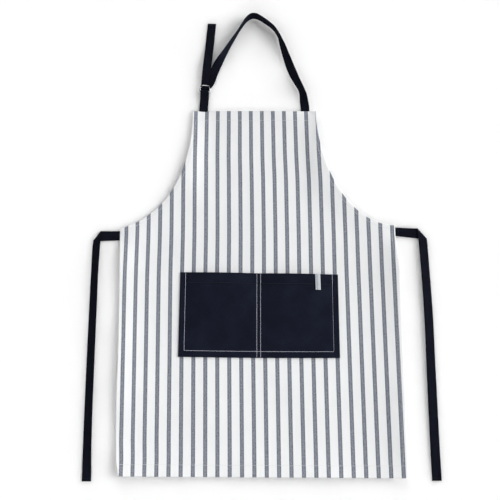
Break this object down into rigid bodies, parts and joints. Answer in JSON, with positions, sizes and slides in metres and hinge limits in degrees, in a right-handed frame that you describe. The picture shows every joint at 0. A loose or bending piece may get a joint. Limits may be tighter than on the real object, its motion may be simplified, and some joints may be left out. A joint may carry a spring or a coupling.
{
  "type": "bib apron",
  "caption": "Bib apron in striped cotton lying flat, with a divided patch pocket, two waist ties and a neck strap that adjusts through a pair of D-rings.",
  "frame": {"origin": "middle of the panel's underside: on its centre line, halfway between the bottom hem and the top of the bib", "axes": "+Y up the apron towards the neck strap, +X to the viewer's right, +Z out of the face that shows"},
  "size_m": [0.8016, 1.122, 0.0205],
  "materials": {
    "striped_cotton": "matt woven cotton, off-white with evenly spaced grey-blue stripes",
    "navy_cotton": "matt woven cotton",
    "navy_tape": "matt twill tape",
    "white_tape": "soft woven label tape, plain",
    "white_thread": "slightly lustrous cotton thread",
    "navy_thread": "slightly lustrous cotton thread",
    "nickel_plate": "bright nickel-plated steel wire"
  },
  "bodies": {
    "root": {"apron_panel": "striped_cotton", "ring_tab_sewn_end": "navy_tape", "neck_strap_sewn_end": "navy_tape", "left_tie_sewn_end": "navy_tape", "right_tie_sewn_end": "navy_tape", "top_hem_stitching": "white_thread", "left_armhole_stitching": "white_thread", "right_armhole_stitching": "white_thread", "left_side_stitching": "white_thread", "right_side_stitching": "white_thread", "bottom_hem_stitching": "white_thread", "pocket_panel": "navy_cotton", "pocket_outline_stitching": "white_thread", "pocket_divider_stitching_left": "white_thread", "pocket_divider_stitching_right": "white_thread", "pocket_mouth_stitching_left": "navy_thread", "pocket_mouth_stitching_right": "navy_thread"},
    "neck_loop": {"ring_tab": "navy_tape", "ring_tab_stitching": "navy_thread", "inner_ring": "nickel_plate", "neck_strap": "navy_tape"},
    "outer_ring": {"outer_ring": "nickel_plate"},
    "strap_tail": {"strap_tail": "navy_tape", "strap_tail_stitching": "navy_thread"},
    "left_tie": {"left_tie": "navy_tape", "left_tie_stitching": "navy_thread", "left_tie_end_stitching": "navy_thread"},
    "right_tie": {"right_tie": "navy_tape", "right_tie_stitching": "navy_thread", "right_tie_end_stitching": "navy_thread"},
    "label": {"label": "white_tape"}
  },
  "joints": [
    {"name": "neck_loop_fold", "type": "hinge", "parent": "root", "child": "neck_loop", "pos_m": [0, 0.4324, 0.0028], "axis": [1, 0, 0], "range_deg": [0, 135]},
    {"name": "outer_ring_lift", "type": "hinge", "parent": "neck_loop", "child": "outer_ring", "pos_m": [-0.12573, 0.48462, 0.00555], "axis": [0.9972, -0.075, 0], "range_deg": [0, 150]},
    {"name": "strap_tail_lift", "type": "hinge", "parent": "neck_loop", "child": "strap_tail", "pos_m": [-0.12447, 0.50143, 0.0056], "axis": [0.9972, -0.075, 0], "range_deg": [0, 55]},
    {"name": "left_tie_fold", "type": "hinge", "parent": "root", "child": "left_tie", "pos_m": [-0.32829, 0.125, 0.0024], "axis": [0, 1, 0], "range_deg": [0, 160]},
    {"name": "right_tie_fold", "type": "hinge", "parent": "root", "child": "right_tie", "pos_m": [0.32829, 0.125, 0.0024], "axis": [0, -1, 0], "range_deg": [0, 160]},
    {"name": "label_lift", "type": "hinge", "parent": "root", "child": "label", "pos_m": [0.139, 0.0303, 0.0092], "axis": [-1, 0, 0], "range_deg": [0, 170]}
  ]
}
